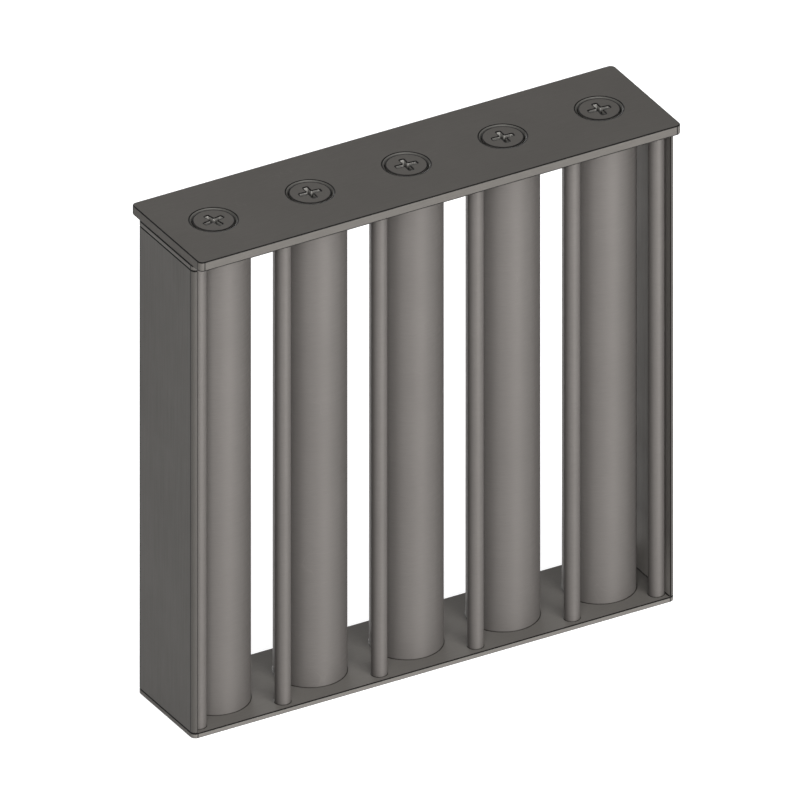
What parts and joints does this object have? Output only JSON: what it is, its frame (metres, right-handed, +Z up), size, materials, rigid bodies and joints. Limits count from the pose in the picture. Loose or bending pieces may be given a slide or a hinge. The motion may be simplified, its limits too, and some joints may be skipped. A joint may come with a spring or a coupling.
{
  "type": "magnetic grate separator",
  "caption": "Upright grate of magnetic tubes with deflector rods in a sheet steel frame, closed by a countersunk-screwed cover plate, for pulling iron out of bulk product.",
  "frame": {"origin": "middle of the underside of the frame's bottom plate, the face it rests on", "axes": "+X along the row of tubes, -Y towards the side with the deflector rods, +Z up towards the cover plate"},
  "size_m": [0.2, 0.05, 0.2],
  "materials": {
    "plate_steel": "satin stainless sheet, fine grain along the length",
    "tube_steel": "ground stainless tube, very fine rings round the axis",
    "rod_steel": "drawn stainless round bar",
    "screw_steel": "turned stainless screw head",
    "plug_steel": "turned stainless",
    "pole_steel": "bare mild steel disc",
    "magnet": "nickel-plated magnet"
  },
  "bodies": {
    "root": {"cover_plate": "plate_steel", "cover_screws": "screw_steel", "frame_top_plate": "plate_steel", "frame_bottom_plate": "plate_steel", "left_side_plate": "plate_steel", "right_side_plate": "plate_steel", "top_plugs": "plug_steel", "tube_jacket_1": "tube_steel", "magnets_1": "magnet", "pole_plates_1": "pole_steel", "tube_jacket_2": "tube_steel", "magnets_2": "magnet", "pole_plates_2": "pole_steel", "tube_jacket_3": "tube_steel", "magnets_3": "magnet", "pole_plates_3": "pole_steel", "tube_jacket_4": "tube_steel", "magnets_4": "magnet", "pole_plates_4": "pole_steel", "tube_jacket_5": "tube_steel", "magnets_5": "magnet", "pole_plates_5": "pole_steel", "deflector_rod_1": "rod_steel", "deflector_rod_2": "rod_steel", "deflector_rod_3": "rod_steel", "deflector_rod_4": "rod_steel", "deflector_rod_5": "rod_steel", "deflector_rod_6": "rod_steel"}
  },
  "joints": []
}
